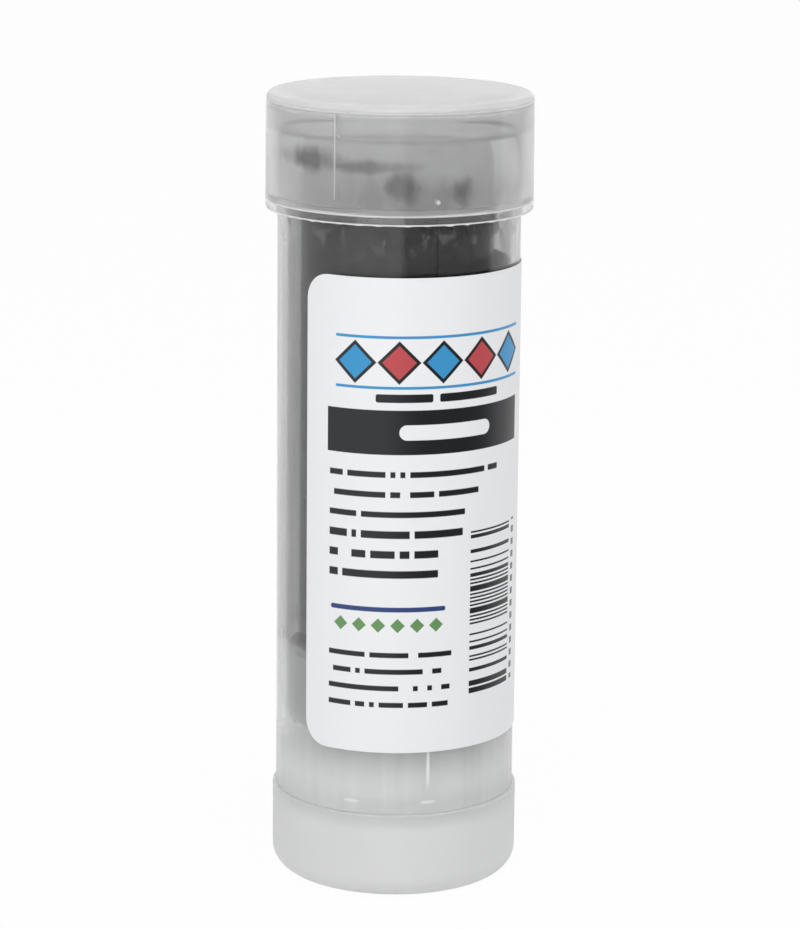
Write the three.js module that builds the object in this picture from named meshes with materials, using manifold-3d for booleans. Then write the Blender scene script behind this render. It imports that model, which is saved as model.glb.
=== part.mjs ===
// A wind-up wax marking stick: a clear barrel on a twist base, a screw, a carrier, the stick, a label and a cap.
// Millimetres, +Z up. The origin is the centre of the base's underside, and -Y is the front of the label.
import * as THREE from "three";
import { mergeVertices } from "three/addons/utils/BufferGeometryUtils.js";
import Module from "manifold-3d";

const wasm = await Module();
wasm.setup();

// Barrel
const barrelOuterR = 17.5;
const barrelWall = 1.3;
const barrelMouthZ = 110.4;
const barrelFloor = 1.6;
const neckWall = 1.2;
const neckLength = 8.8;
const ribWidth = 1.7;
const ribDepth = 0.9;
const ribBelowMouth = 1.6;
const ribAngle = 16.3; // degrees round from the front, towards +X
const ribCount = 2;
const pipR = 0.7;
const pipHeight = 0.3;
const pipBelowMouth = 8.4;
const snapBead = 0.4;
const snapBeadHeight = 1.2;
const snapBeadAboveEnd = 1.8;

// Twist base
const baseOverhang = 0.5; // how far the base stands proud of the barrel
const baseWall = 1;
const baseHeight = 12.8;
const baseFloor = 1.5;
const baseEdgeR = 3.3;
const baseRecessR = 11.5;
const baseRecess = 0.5;
const socketBossR = 7;
const socketDepth = 9.8;

// Screw
const threadR = 4.2;
const coreR = 3;
const threadPitch = 6;
const threadRoot = 2.6; // axial width of the thread where it meets the core
const threadCrest = 1.4;
const screwTopZ = 98;
const screwTipBare = 2; // the length at the tip that the thread stops short of
const screwTipChamfer = 1;
const collarR = 6.4;
const collarHeight = 1;
const footAcrossFlats = 6.4;
const footLength = 8.2;

// Carrier
const cupHeight = 10.4;
const cupWall = 1.7;
const cupFloor = 1.5;
const hubDrop = 7.5;
const nutR = 6.6;
const skirtR = 10.7;
const skirtWall = 1.2;
const webThickness = 1;
const webSetBack = 0.5; // how far the webs' lower edges stand above the hub's
const webCount = 4;

// Wax stick
const stickTopZ = 106.8;
const stickEdgeR = 0.8;
const chipDepth = 3;
const chipAngle = 30; // degrees round from the front, towards +X
const chipHalfAngle = 78;
const waveDepth = 0.4;
const waveLength = 12;

// Cap
const capDraft = 0.12; // how much smaller the radius is at the top
const capWall = 1.2;
const capTopWall = 1.5;
const capEdgeR = 1;
const capSkirtLength = 12.1;
const capStopHeight = 3.15;
const capRibCount = 3;
const capRibAngle = -28;
const capRibWidth = 0.5;
const capStopDepth = 1.1;
const capRibAboveRim = 3;
const capReliefHeight = 1.4;
const capRelief = 0.3;
const capBead = 0.1;

// Label
const labelWidth = 88;
const labelHeight = 69;
const labelBottomZ = 22.2;
const labelThickness = 0.12;
const labelCornerR = 3.8;
const labelLeft = -46.3; // the left edge, in degrees round from the front

// Clearances
const slideGap = 0.3; // between the carrier and the barrel, and the stick and its cup
const turnGap = 0.25; // between faces that turn past each other
const capBoreGap = 0.57; // between the barrel and the cap's bore
const capRibGap = 0.27; // between the barrel and the cap's ribs
const threadGap = 0.3;
const socketGap = 0.15;
const labelGap = 0.05;
const sink = 0.2; // how far a joined feature is buried in what carries it
const softEdge = 0.25; // the small break on a moulded edge

// Facets
const around = 56;
const screwFacets = 16; // for each turn of the thread too

// Heights and radii that follow from the sizes above
const barrelInnerR = barrelOuterR - barrelWall;
const shoulderZ = baseHeight + turnGap;
const floorTopZ = shoulderZ + barrelFloor;
const baseOuterR = barrelOuterR + baseOverhang;
const baseInnerR = baseOuterR - baseWall;
const neckR = baseInnerR - snapBead - turnGap;
const neckEndZ = shoulderZ - neckLength;
const bossTopZ = shoulderZ - turnGap;
const journalHoleR = threadR + threadGap;
const collarZ = floorTopZ + turnGap;
const hubZ = collarZ + collarHeight + slideGap;
const cupZ = hubZ + hubDrop;
const cupFloorTopZ = cupZ + cupFloor;
const cupTopZ = cupZ + cupHeight;
const carrierR = barrelInnerR - slideGap;
const stickR = carrierR - cupWall - slideGap;
const boreR = threadR + threadGap;
const capSeatZ = barrelMouthZ + turnGap;
const capRimZ = capSeatZ - capSkirtLength;
const capCeilingZ = capSeatZ + capStopHeight;
const capTopZ = capCeilingZ + capTopWall;
const capInnerR = barrelOuterR + capBoreGap;
const capOuterR = capInnerR + capWall;

const degrees = Math.PI / 180;
// An angle round from the front (-Y) towards +X, as an angle from +X.
const fromFront = (angle) => (angle - 90) * degrees;

// Profiles are lists of [radius, height].
function arc(centreR, centreZ, r, from, to, steps) {
  const points = [];
  for (let i = 0; i <= steps; i++) {
    const a = (from + ((to - from) * i) / steps) * degrees;
    points.push([centreR + r * Math.cos(a), centreZ + r * Math.sin(a)]);
  }
  return points;
}

function signedArea(profile) {
  let sum = 0;
  profile.forEach(([r, z], i) => {
    const [nextR, nextZ] = profile[(i + 1) % profile.length];
    sum += r * nextZ - nextR * z;
  });
  return sum / 2;
}

// Turns a closed profile round Z. A profile that begins and ends on the axis is left open there.
function revolve(profile, segments = around) {
  const outline = signedArea(profile) > 0 ? profile : [...profile].reverse();
  const onAxis = outline.findIndex(([r], i) => {
    const next = outline[(i + 1) % outline.length];
    return r === 0 && next[0] === 0;
  });
  const ordered =
    onAxis < 0
      ? [...outline, outline[0]]
      : [...outline.slice(onAxis + 1), ...outline.slice(0, onAxis + 1)];
  const points = ordered.map(([r, z]) => new THREE.Vector2(r, z));
  return new THREE.LatheGeometry(points, segments).rotateX(Math.PI / 2);
}

function solid(geometry) {
  const bare = new THREE.BufferGeometry().setAttribute(
    "position",
    geometry.getAttribute("position").clone(),
  );
  if (geometry.index) bare.setIndex(geometry.index.clone());
  const merged = mergeVertices(bare, 1e-4);
  return new wasm.Manifold(
    new wasm.Mesh({
      numProp: 3,
      vertProperties: new Float32Array(merged.attributes.position.array),
      triVerts: new Uint32Array(merged.index.array),
    }),
  );
}

function geometryOf(made) {
  const mesh = made.getMesh();
  const indexed = new THREE.BufferGeometry();
  indexed.setAttribute(
    "position",
    new THREE.BufferAttribute(new Float32Array(mesh.vertProperties), 3),
  );
  indexed.setIndex(new THREE.BufferAttribute(new Uint32Array(mesh.triVerts), 1));
  const flat = indexed.toNonIndexed();
  flat.computeVertexNormals();
  return flat;
}

// A block that stands on a radius: from one radius to another, centred on an angle round from the front.
function radialBlock(fromR, toR, width, fromZ, toZ, angle) {
  const block = new THREE.BoxGeometry(toR - fromR, width, toZ - fromZ);
  block.translate((fromR + toR) / 2, 0, (fromZ + toZ) / 2);
  return block.rotateZ(fromFront(angle));
}

// One unbroken ridge wound on a right-handed helix. Its section has a width at each of two radii.
function helicalRidge({ innerR, innerWidth, outerR, outerWidth, fromZ, turns, startAngle }) {
  const steps = Math.ceil(turns * screwFacets);
  const corners = [
    [innerR, -innerWidth / 2],
    [outerR, -outerWidth / 2],
    [outerR, outerWidth / 2],
    [innerR, innerWidth / 2],
  ];
  const positions = [];
  for (let i = 0; i <= steps; i++) {
    const turned = (turns * i) / steps;
    const angle = startAngle + turned * 2 * Math.PI;
    for (const [r, dz] of corners)
      positions.push(r * Math.cos(angle), r * Math.sin(angle), fromZ + turned * threadPitch + dz);
  }
  const faces = [0, 1, 2, 0, 2, 3];
  for (let i = 0; i < steps; i++)
    for (let c = 0; c < 4; c++) {
      const a = i * 4 + c;
      const b = i * 4 + ((c + 1) % 4);
      faces.push(a, a + 4, b, b, a + 4, b + 4);
    }
  const end = steps * 4;
  faces.push(end, end + 2, end + 1, end, end + 3, end + 2);
  const ridge = new THREE.BufferGeometry();
  ridge.setAttribute("position", new THREE.Float32BufferAttribute(positions, 3));
  ridge.setIndex(faces);
  return ridge;
}

// The screw's thread is this wide at a radius, and the nut's thread fills the rest of the pitch.
function threadWidth(r) {
  const share = (r - coreR) / (threadR - coreR);
  return threadRoot + share * (threadCrest - threadRoot);
}
const nutWidth = (r) => threadPitch - threadWidth(r) - 2 * threadGap;
const threadStartZ = collarZ + collarHeight + slideGap + threadRoot / 2;

function makeBarrel() {
  const beadZ = neckEndZ + snapBeadAboveEnd;
  let made = solid(
    revolve([
      [journalHoleR, shoulderZ],
      [neckR - neckWall, shoulderZ],
      [neckR - neckWall, neckEndZ],
      [neckR - softEdge, neckEndZ],
      [neckR, neckEndZ + softEdge],
      [neckR, beadZ],
      [neckR + snapBead, beadZ + snapBead],
      [neckR + snapBead, beadZ + snapBeadHeight - softEdge],
      [neckR, beadZ + snapBeadHeight],
      [neckR, shoulderZ],
      [barrelOuterR - softEdge, shoulderZ],
      [barrelOuterR, shoulderZ + softEdge],
      [barrelOuterR, barrelMouthZ - softEdge],
      [barrelOuterR - softEdge, barrelMouthZ],
      [barrelInnerR + softEdge, barrelMouthZ],
      [barrelInnerR, barrelMouthZ - softEdge],
      [barrelInnerR, floorTopZ + softEdge],
      [barrelInnerR - softEdge, floorTopZ],
      [journalHoleR, floorTopZ],
    ]),
  );
  for (let i = 0; i < ribCount; i++) {
    const angle = ribAngle + (360 * i) / ribCount;
    const ribTopZ = barrelMouthZ - ribBelowMouth;
    made = made.add(
      solid(
        radialBlock(
          barrelInnerR - ribDepth,
          barrelInnerR + sink,
          ribWidth,
          floorTopZ - sink,
          ribTopZ,
          angle,
        ),
      ),
    );
    // A shallow round pip that the cap passes over.
    const pipBallR = (pipR * pipR + pipHeight * pipHeight) / (2 * pipHeight);
    const pip = new THREE.SphereGeometry(pipBallR, 16, 12);
    pip.translate(barrelOuterR + pipHeight - pipBallR, 0, barrelMouthZ - pipBelowMouth);
    made = made.add(solid(pip.rotateZ(fromFront(angle))));
  }
  return made;
}

function makeBase() {
  const beadZ = neckEndZ + snapBeadAboveEnd + snapBeadHeight + turnGap;
  const beadR = neckR + turnGap;
  const innerEdgeR = baseEdgeR - baseWall;
  const body = solid(
    revolve([
      [0, baseRecess],
      [baseRecessR - baseRecess, baseRecess],
      [baseRecessR, 0],
      ...arc(baseOuterR - baseEdgeR, baseEdgeR, baseEdgeR, -90, 0, 5),
      [baseOuterR, baseHeight - softEdge],
      [baseOuterR - softEdge, baseHeight],
      [baseInnerR + softEdge, baseHeight],
      [baseInnerR, baseHeight - softEdge],
      [baseInnerR, beadZ + snapBeadHeight],
      [beadR, beadZ + snapBeadHeight - softEdge],
      [beadR, beadZ + softEdge],
      [baseInnerR, beadZ],
      ...arc(baseInnerR - innerEdgeR, baseFloor + innerEdgeR, innerEdgeR, 0, -90, 3),
      [socketBossR, baseFloor],
      [socketBossR, bossTopZ - softEdge],
      [socketBossR - softEdge, bossTopZ],
      [0, bossTopZ],
    ]),
  );
  const mouthDepth = socketDepth - footLength + sink + socketGap;
  const mouth = new THREE.CylinderGeometry(journalHoleR, journalHoleR, 2 * mouthDepth, around);
  mouth.rotateX(Math.PI / 2).translate(0, 0, bossTopZ);
  const socketR = (footAcrossFlats / 2 + socketGap) / Math.cos(Math.PI / 6);
  const hexagon = new THREE.CylinderGeometry(socketR, socketR, socketDepth, 6);
  hexagon.rotateX(Math.PI / 2).translate(0, 0, bossTopZ - socketDepth / 2);
  return body.subtract(solid(mouth)).subtract(solid(hexagon));
}

function makeScrew() {
  const footTopZ = bossTopZ - socketDepth + footLength + socketGap;
  const core = solid(
    revolve(
      [
        [0, footTopZ - sink],
        [threadR, footTopZ - sink],
        [threadR, collarZ],
        [collarR - softEdge, collarZ],
        [collarR, collarZ + softEdge],
        [collarR, collarZ + collarHeight - softEdge],
        [collarR - softEdge, collarZ + collarHeight],
        [coreR, collarZ + collarHeight],
        [coreR, screwTopZ - screwTipChamfer],
        [coreR - screwTipChamfer, screwTopZ],
        [0, screwTopZ],
      ],
      screwFacets,
    ),
  );
  const footR = footAcrossFlats / 2 / Math.cos(Math.PI / 6);
  const foot = new THREE.CylinderGeometry(footR, footR, footLength, 6);
  foot.rotateX(Math.PI / 2).translate(0, 0, footTopZ - footLength / 2);
  const thread = helicalRidge({
    innerR: coreR - sink,
    innerWidth: threadWidth(coreR - sink),
    outerR: threadR,
    outerWidth: threadWidth(threadR),
    fromZ: threadStartZ,
    turns: (screwTopZ - screwTipBare - threadRoot / 2 - threadStartZ) / threadPitch,
    startAngle: 0,
  });
  return core.add(solid(foot)).add(solid(thread));
}

function makeCarrier() {
  let made = solid(
    revolve([
      [boreR, hubZ],
      [nutR, hubZ],
      [nutR, cupZ],
      [skirtR - skirtWall, cupZ],
      [skirtR - skirtWall, hubZ],
      [skirtR, hubZ],
      [skirtR, cupZ],
      [carrierR - softEdge, cupZ],
      [carrierR, cupZ + softEdge],
      [carrierR, cupTopZ - softEdge],
      [carrierR - softEdge, cupTopZ],
      [carrierR - cupWall + softEdge, cupTopZ],
      [carrierR - cupWall, cupTopZ - softEdge],
      [carrierR - cupWall, cupFloorTopZ],
      [boreR, cupFloorTopZ],
    ]),
  );
  for (let i = 0; i < webCount; i++) {
    const web = radialBlock(
      nutR - sink,
      skirtR - skirtWall + sink,
      webThickness,
      hubZ + webSetBack,
      cupZ + sink,
      ribAngle + (360 * i) / webCount,
    );
    made = made.add(solid(web));
  }
  const nutStartZ = hubZ + nutWidth(boreR) / 2;
  const nutEndZ = cupFloorTopZ - nutWidth(boreR) / 2;
  const nutThread = helicalRidge({
    innerR: coreR + threadGap,
    innerWidth: nutWidth(coreR + threadGap),
    outerR: boreR + sink,
    outerWidth: nutWidth(boreR),
    fromZ: nutStartZ,
    turns: (nutEndZ - nutStartZ) / threadPitch,
    startAngle: 2 * Math.PI * ((nutStartZ - threadStartZ) / threadPitch - 0.5),
  });
  made = made.add(solid(nutThread));
  for (let i = 0; i < ribCount; i++) {
    const notch = radialBlock(
      barrelInnerR - ribDepth - slideGap,
      barrelInnerR + sink,
      ribWidth + 2 * slideGap,
      cupZ - sink,
      cupTopZ + sink,
      ribAngle + (360 * i) / ribCount,
    );
    made = made.subtract(solid(notch));
  }
  return made;
}

// How far the stick's end is worn down: a broken hollow on one side, and gentle waves all over.
function wornBy(x, y) {
  const angle = Math.atan2(x, -y) / degrees;
  const r = Math.hypot(x, y) / stickR;
  const acrossChip = Math.max(0, 1 - Math.abs(angle - chipAngle) / chipHalfAngle);
  const chip = chipDepth * acrossChip ** 2 * (3 - 2 * acrossChip) * r ** 1.5;
  const turn = (2 * Math.PI) / waveLength;
  return chip + waveDepth * Math.sin(turn * x + 1.3) * Math.cos(turn * y - 0.4) * r;
}

function makeStick() {
  const boreTopZ = screwTopZ + threadGap;
  const geometry = revolve([
    [0, boreTopZ],
    [boreR, boreTopZ],
    [boreR, cupFloorTopZ],
    [stickR - stickEdgeR / 2, cupFloorTopZ],
    [stickR, cupFloorTopZ + stickEdgeR / 2],
    [stickR, stickTopZ - stickEdgeR],
    ...arc(stickR - stickEdgeR, stickTopZ - stickEdgeR, stickEdgeR, 30, 90, 2),
    ...[0.8, 0.55, 0.28, 0].map((share) => [stickR * share, stickTopZ]),
  ]);
  const position = geometry.getAttribute("position");
  for (let i = 0; i < position.count; i++) {
    if (position.getZ(i) < stickTopZ - 1.01 * stickEdgeR) continue;
    position.setZ(i, position.getZ(i) - wornBy(position.getX(i), position.getY(i)));
  }
  return solid(geometry);
}

function makeCap() {
  const topR = capOuterR - capDraft;
  const beadZ = capRimZ + capReliefHeight;
  let made = solid(
    revolve([
      [capInnerR + capRelief, capRimZ],
      [capOuterR - softEdge / 2, capRimZ],
      [capOuterR, capRimZ + softEdge / 2],
      ...arc(topR - capEdgeR, capTopZ - capEdgeR, capEdgeR, 0, 90, 5),
      [0, capTopZ],
      [0, capCeilingZ],
      [capInnerR - capEdgeR, capCeilingZ],
      [capInnerR, capCeilingZ - capEdgeR],
      [capInnerR, beadZ + 2 * capBead + capRelief],
      [capInnerR - capBead, beadZ + capBead + capRelief],
      [capInnerR - capBead, beadZ + capRelief],
      [capInnerR + capRelief, beadZ],
    ]),
  );
  for (let i = 0; i < capRibCount; i++) {
    const angle = capRibAngle + (360 * i) / capRibCount;
    const rib = radialBlock(
      barrelOuterR + capRibGap,
      capInnerR + sink,
      capRibWidth,
      capRimZ + capRibAboveRim,
      capCeilingZ + sink,
      angle,
    );
    const stop = radialBlock(
      capInnerR - capStopDepth,
      capInnerR + sink,
      capRibWidth,
      capSeatZ,
      capCeilingZ + sink,
      angle,
    );
    made = made.add(solid(rib)).add(solid(stop));
  }
  return made;
}

// A sheet with round corners, bent round the barrel as one curved shell.
function makeLabel() {
  const innerR = barrelOuterR + labelGap;
  const outerR = innerR + labelThickness;
  const columns = [];
  const cornerSteps = 5;
  const middleSteps = 60;
  for (let i = 0; i <= cornerSteps; i++)
    columns.push(labelCornerR * (1 - Math.cos((i * Math.PI) / 2 / cornerSteps)));
  const middle = labelWidth - 2 * labelCornerR;
  for (let i = 1; i < middleSteps; i++) columns.push(labelCornerR + (middle * i) / middleSteps);
  for (let i = cornerSteps; i >= 0; i--) columns.push(labelWidth - columns[i]);
  const positions = [];
  for (const along of columns) {
    const fromEnd = Math.min(along, labelWidth - along, labelCornerR);
    const drop = labelCornerR - Math.sqrt(labelCornerR ** 2 - (labelCornerR - fromEnd) ** 2);
    const angle = fromFront(labelLeft) + along / outerR;
    for (const [r, z] of [
      [innerR, labelBottomZ + drop],
      [outerR, labelBottomZ + drop],
      [outerR, labelBottomZ + labelHeight - drop],
      [innerR, labelBottomZ + labelHeight - drop],
    ])
      positions.push(r * Math.cos(angle), r * Math.sin(angle), z);
  }
  const faces = [0, 1, 2, 0, 2, 3];
  for (let i = 0; i < columns.length - 1; i++)
    for (let c = 0; c < 4; c++) {
      const a = i * 4 + c;
      const b = i * 4 + ((c + 1) % 4);
      faces.push(a, a + 4, b, b, a + 4, b + 4);
    }
  const end = (columns.length - 1) * 4;
  faces.push(end, end + 2, end + 1, end, end + 3, end + 2);
  const sheet = new THREE.BufferGeometry();
  sheet.setAttribute("position", new THREE.Float32BufferAttribute(positions, 3));
  sheet.setIndex(faces);
  return solid(sheet);
}

const finishes = {
  frosted: { color: 0xdcdddd, roughness: 0.4, transparent: true, opacity: 0.75 },
  clear: { color: 0xe9ebeb, roughness: 0.12, transparent: true, opacity: 0.35 },
  natural: { color: 0xd0d4d5, roughness: 0.4, transparent: true, opacity: 0.8 },
  wax: { color: 0x17171a, roughness: 0.55 },
  paper: { color: 0xf1f2f4, roughness: 0.35 },
};

const marker = new THREE.Group();
for (const [name, made, finish] of [
  ["barrel", makeBarrel(), "clear"],
  ["label", makeLabel(), "paper"],
  ["twist_base", makeBase(), "frosted"],
  ["drive_screw", makeScrew(), "natural"],
  ["carrier", makeCarrier(), "natural"],
  ["wax_stick", makeStick(), "wax"],
  ["cap", makeCap(), "frosted"],
]) {
  const mesh = new THREE.Mesh(
    geometryOf(made),
    new THREE.MeshStandardMaterial({ metalness: 0, ...finishes[finish] }),
  );
  mesh.name = name;
  marker.add(mesh);
}

export default marker;
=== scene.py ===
# %% [markdown]
# A wind-up wax marking stick.
#
# A black wax crayon sits in a see-through tube. A frosted base turns a screw, which lifts a small
# cup with the crayon in it, and a frosted cap pushes over the tube's mouth. A film label is
# wrapped round the tube. The lesson is mostly about plastics that let light through: clear, hazy
# and frosted ones need real wall thickness, so every wall here is modelled with both its sides.
#
# The packed model gives the places and the outer sizes. Each visible piece is then turned again
# with more facets, small edge radii and its own finish.

# %% Load the packed model and note its box
import math
import random
from functools import reduce

import bmesh
import bpy
from mathutils import Matrix, Vector


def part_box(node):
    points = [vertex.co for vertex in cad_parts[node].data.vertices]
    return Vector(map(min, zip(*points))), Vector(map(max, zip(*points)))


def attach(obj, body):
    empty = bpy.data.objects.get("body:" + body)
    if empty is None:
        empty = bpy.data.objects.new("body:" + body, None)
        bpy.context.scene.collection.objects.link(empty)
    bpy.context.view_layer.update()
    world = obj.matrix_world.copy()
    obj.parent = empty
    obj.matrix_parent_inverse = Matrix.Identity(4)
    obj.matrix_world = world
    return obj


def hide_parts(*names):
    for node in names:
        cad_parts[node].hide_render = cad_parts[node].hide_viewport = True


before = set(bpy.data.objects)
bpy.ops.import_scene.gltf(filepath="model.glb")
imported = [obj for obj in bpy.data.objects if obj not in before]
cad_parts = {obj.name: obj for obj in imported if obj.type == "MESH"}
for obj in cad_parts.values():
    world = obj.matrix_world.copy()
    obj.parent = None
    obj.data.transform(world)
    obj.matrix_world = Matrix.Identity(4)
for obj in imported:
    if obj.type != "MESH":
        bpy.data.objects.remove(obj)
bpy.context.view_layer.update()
MM = 0.001

# %% [markdown]
# Sizes.
#
# Radii and heights come from the packed nodes, in millimetres. Only what a bounding box can't
# tell, such as a wall or a bead, is a number of its own, and stands beside the piece it belongs to.

# %% Read the driving sizes from the nodes


def outer_radius(node):
    low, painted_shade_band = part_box(node)
    return (painted_shade_band.x - low.x) / 2 / MM


def heights(node):
    low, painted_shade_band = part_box(node)
    return low.z / MM, painted_shade_band.z / MM


BARREL_R = 17.5
BARREL_WALL = 1.3
BARREL_FLOOR = 1.6
BORE_R = BARREL_R - BARREL_WALL
TURN_GAP = 0.25
NECK_END_Z, MOUTH_Z = heights("barrel")
BASE_R = outer_radius("twist_base")
BASE_TOP_Z = heights("twist_base")[1]
SHOULDER_Z = BASE_TOP_Z + TURN_GAP
FLOOR_Z = SHOULDER_Z + BARREL_FLOOR
CAP_R = outer_radius("cap")
CAP_RIM_Z, CAP_TOP_Z = heights("cap")
STICK_R = outer_radius("wax_stick")
STICK_BOTTOM_Z, STICK_TOP_Z = heights("wax_stick")
CARRIER_R = outer_radius("carrier")
HUB_Z, CUP_TOP_Z = heights("carrier")
LABEL_BOTTOM_Z, LABEL_TOP_Z = heights("label")
SCREW_FOOT_Z, SCREW_TOP_Z = heights("drive_screw")
RIB_ANGLE = 16.3
EDGE = 0.25
print("radii: cap", round(CAP_R, 2), "base", round(BASE_R, 2), "stick", round(STICK_R, 2))

# %% [markdown]
# Turned pieces with ribs.
#
# Almost every piece here is a body of revolution with a few ribs or notches. Blender's Screw
# modifier can turn an outline, but it can't change the outline part of the way round, and a
# boolean leaves ragged corners in clear plastic. So the surface is made as a grid: one column of
# points for each angle, from an outline that may differ from column to column. Where a rib or a
# pip stands, the columns are closer together.
#
# Angles are in degrees round from the front (-Y) towards +X.

# %% Choose the columns and draw their edges
FACETS = 240


def apart(angle, other):
    """How far two angles are from each other, 0 to 180."""
    return abs((angle - other + 180) % 360 - 180)


def smooth_step(low, painted_shade_band, value):
    """0 below low and 1 above high, with a smooth rise between."""
    share = min(1.0, max(0.0, (value - low) / (painted_shade_band - low)))
    return share * share * (3 - 2 * share)


def rib_share(angle, centres, width, radius, flank=0.12):
    """How much of a rib is at an angle, 0 to 1, with flanks that are a little rounded."""
    off = min(apart(angle, centre) for centre in centres)
    from_middle = math.radians(off) * radius
    return 1 - smooth_step(width / 2 - flank / 2, width / 2 + flank / 2, from_middle)


def angles_round(centres=(), width=1.0, radius=10.0, step=0.06, beside=0.35):
    """Even angles, with closer ones in a band round each centre."""
    reach = math.degrees((width / 2 + beside) / radius)
    even = [360 * i / FACETS for i in range(FACETS)]
    angles = [a for a in even if all(apart(a, centre) > reach for centre in centres)]
    count = round(2 * math.radians(reach) * radius / step)
    for centre in centres:
        angles += [(centre - reach + 2 * reach * i / count) % 360 for i in range(count + 1)]
    return sorted(angles)


def arc(centre_r, centre_z, radius, start, end, steps=4):
    """Points on a round edge, as (radius, height). 0 degrees points outward and 90 up."""
    turns = [math.radians(start + (end - start) * i / steps) for i in range(steps + 1)]
    return [(centre_r + radius * math.cos(a), centre_z + radius * math.sin(a)) for a in turns]


def on_wall(radius, angle, z):
    """A point in metres from a radius, an angle and a height."""
    a = math.radians(angle)
    return Vector((radius * math.sin(a), -radius * math.cos(a), z)) * MM


print(FACETS, "columns round a plain piece,", len(angles_round([0.0])), "round one with a rib")

# %% [markdown]
# From columns to a closed piece.
#
# Neighbouring columns are joined by strips of faces. Where an outline touches the axis its points
# fall together, so they are merged. Light is bent wrongly by a wall with a hole in it, so the
# number of open edges is counted and printed. It has to be 0.

# %% Join the columns and dress the piece
CREASE = 32
MERGE_DISTANCE = 2e-7
SECOND_FINISH = 1


def new_piece(name, shape, crease=CREASE):
    """Turns a bmesh into an object with smooth faces and sharp edges at the creases."""
    bmesh.ops.remove_doubles(shape, verts=shape.verts, dist=MERGE_DISTANCE)
    loose = [e for e in shape.edges if not e.link_faces]
    bmesh.ops.delete(shape, geom=loose, context="EDGES")
    bmesh.ops.recalc_face_normals(shape, faces=shape.faces)
    open_edges = sum(len(e.link_faces) != 2 for e in shape.edges)
    mesh = bpy.data.meshes.new(name)
    shape.to_mesh(mesh)
    shape.free()
    mesh.shade_smooth()
    mesh.set_sharp_from_angle(angle=math.radians(crease))
    piece = bpy.data.objects.new(name, mesh)
    bpy.context.scene.collection.objects.link(piece)
    print(name, len(mesh.polygons), "faces,", open_edges, "open edges")
    return piece


def join(shape, lefts, rights):
    """Faces between columns of points and the ones on their right. Each column is a closed loop."""
    for left, right in zip(lefts, rights):
        for i in range(len(left)):
            shape.faces.new((left[i - 1], left[i], right[i], right[i - 1]))


def turned(name, outline_at, angles=None, crease=CREASE, climbs=False):
    """A closed piece through outline_at(angle), each a closed loop of (radius, height).

    A piece with a thread climbs: its last column is at 360 and lies on its first, a thread higher.
    """
    shape = bmesh.new()
    angles = angles or angles_round()
    if climbs:
        angles = sorted({0.0, *angles, 360.0})
    grid = []
    for angle in angles:
        grid.append([shape.verts.new(on_wall(r, angle, z)) for r, z in outline_at(angle)])
    join(shape, grid, grid[1:] if climbs else grid[1:] + grid[:1])
    return new_piece(name, shape, crease)


def line_bore(piece, bore_r, low_z, high_z):
    """Gives the faces of a bore, between two heights, the piece's second finish."""
    for face in piece.data.polygons:
        middle = face.center / MM
        if math.hypot(middle.x, middle.y) < bore_r + 0.05 and low_z < middle.z < high_z:
            face.material_index = SECOND_FINISH
    lined = sum(face.material_index == SECOND_FINISH for face in piece.data.polygons)
    print(piece.name, "has", lined, "faces in its bore")


def dress(piece, body, slot, *materials, replaces):
    """Gives a piece its materials and body, and hides the node that it stands for. The slot is not
    used.
    """
    for material in materials:
        piece.data.materials.append(material)
    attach(piece, body)
    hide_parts(replaces)


print("points closer than", MERGE_DISTANCE / MM, "mm are merged")

# %% [markdown]
# Shader sums in Python.
#
# A node tree is easier to read as an expression. `Wire` wraps one output socket, and a sum with
# it adds the Math node. `Tree.node` makes any other node from its type, its settings and what
# goes into its sockets.

# %% Wrap a socket


class Wire:
    """One output socket in a tree, which can be used in sums."""

    def __init__(self, tree, socket):
        self.tree = tree
        self.socket = socket

    def math(self, operation, *numbers):
        made = self.tree.node("Math", {"operation": operation}, dict(enumerate(numbers)))
        return Wire(self.tree, made.outputs[0])

    def __add__(self, other):
        return self.math("ADD", self, other)

    __radd__ = __add__

    def __sub__(self, other):
        return self.math("SUBTRACT", self, other)

    def __rsub__(self, other):
        return self.math("SUBTRACT", other, self)

    def __mul__(self, other):
        return self.math("MULTIPLY", self, other)

    __rmul__ = __mul__

    def __truediv__(self, other):
        return self.math("DIVIDE", self, other)

    def __pow__(self, other):
        return self.math("POWER", self, other)

    def __abs__(self):
        return self.math("ABSOLUTE", self)

    def floor(self):
        return self.math("FLOOR", self)

    def fraction(self):
        return self.math("FRACT", self)

    def at_most(self, limit):
        return self.math("MINIMUM", self, limit)

    def at_least(self, limit):
        return self.math("MAXIMUM", self, limit)

    def sine_past(self, centre, times=1.0):
        """For an angle in degrees: the sine of how far it is past a centre, times a number."""
        return self.math("SINE", (self - centre) * math.radians(times))

    def above(self, edge, soft):
        """0 below the edge and 1 above it, with a soft step between. The edge may be a wire."""
        settings = {"interpolation_type": "SMOOTHSTEP"}
        ends = {"Value": self, "From Min": edge - soft / 2, "From Max": edge + soft / 2}
        return self.tree.wire("MapRange", settings, ends)

    def between(self, low, painted_shade_band, soft):
        return self.above(low, soft) * (1 - self.above(painted_shade_band, soft))


def length(across, along):
    """The distance that two wires at right angles to each other make."""
    return (across * across + along * along) ** 0.5


def angle_round(x, y):
    """The angle round from the front, in degrees."""
    return x.math("ARCTAN2", x, -1 * y) * math.degrees(1)


print("sums with wires:", sorted(n for n in vars(Wire) if not n.startswith("__")))

# %% Wrap a node tree


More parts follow.
